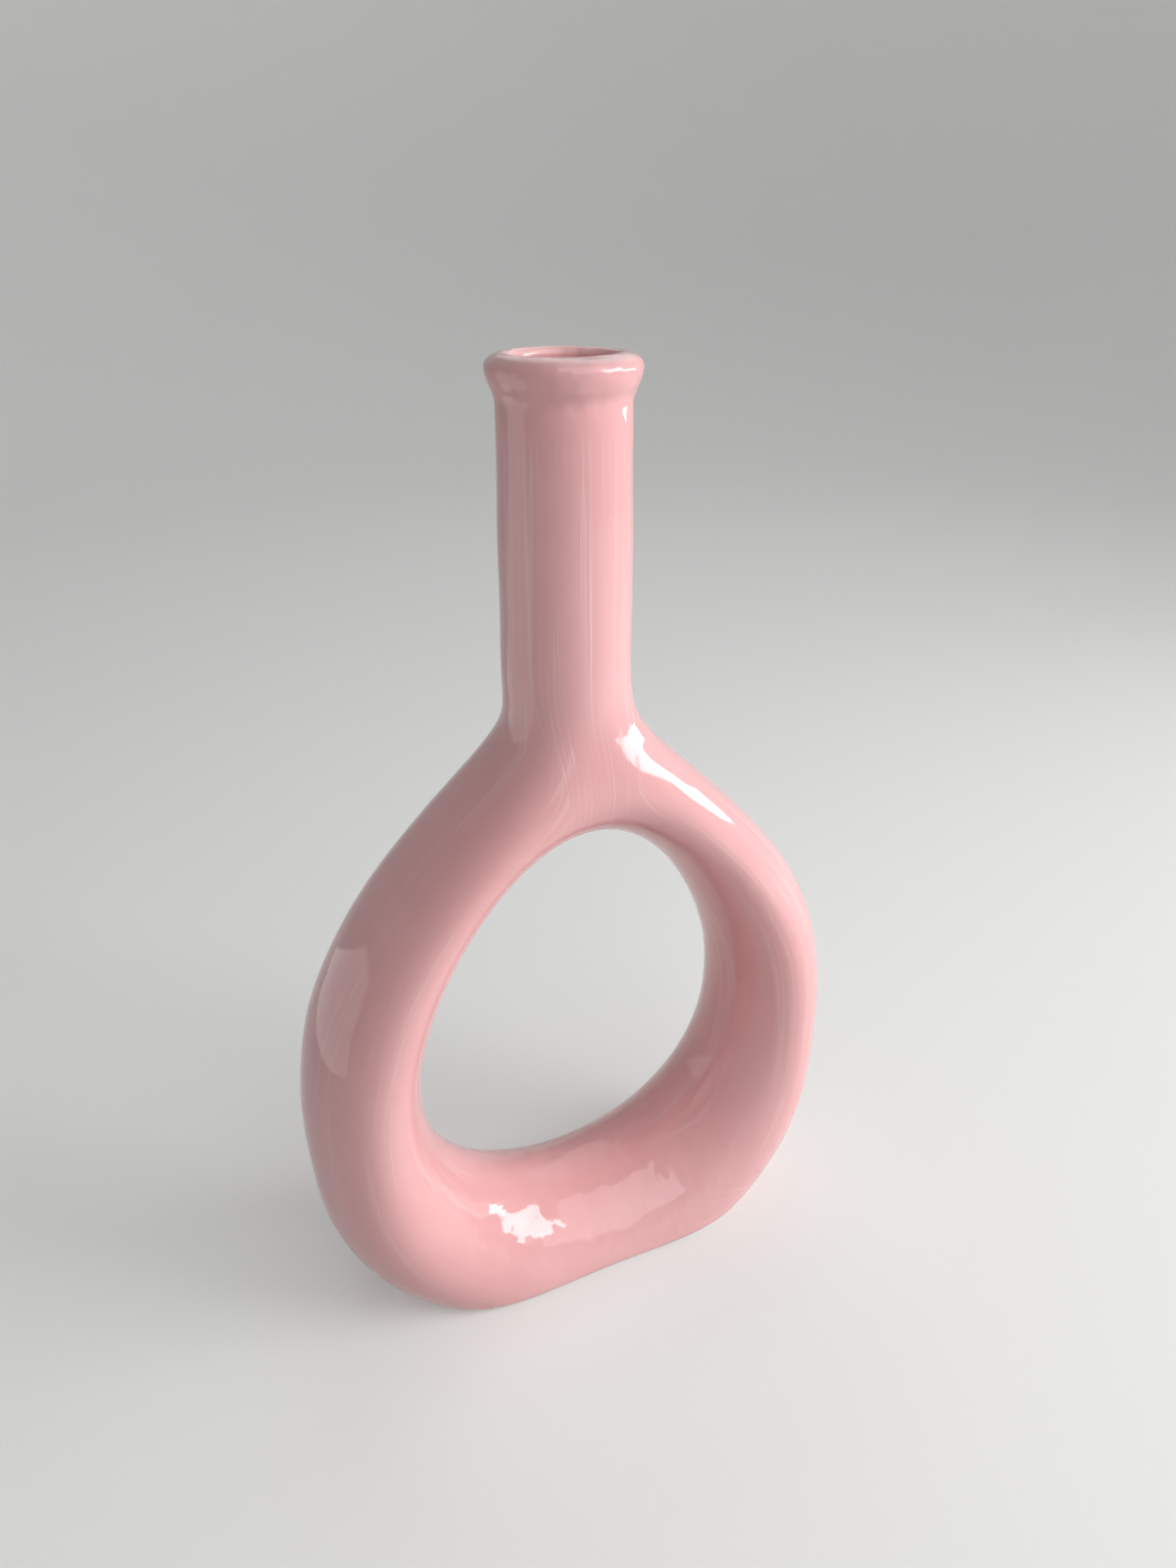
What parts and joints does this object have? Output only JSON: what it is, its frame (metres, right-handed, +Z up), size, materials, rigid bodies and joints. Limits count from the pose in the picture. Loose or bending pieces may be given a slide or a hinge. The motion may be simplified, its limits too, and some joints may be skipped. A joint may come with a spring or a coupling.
{
  "type": "ring vase",
  "caption": "Glazed ceramic ring vase with an egg-shaped hole through its hollow body, soft shoulders, a tall round neck, a rolled lip and a flat foot.",
  "frame": {"origin": "middle of the foot, on the surface that the vase stands on", "axes": "+Z up along the neck, X across the ring's width, Y along the way through its hole; the side at -Y faces the viewer"},
  "size_m": [0.196, 0.0632, 0.32],
  "materials": {
    "clay": "bare fired clay, matt",
    "glaze": "glossy pale pink glaze"
  },
  "bodies": {
    "root": {"ring_body": "clay", "neck": "clay", "ring_glaze": "glaze", "neck_glaze": "glaze", "ring_lining": "glaze", "neck_lining": "glaze"}
  },
  "joints": []
}
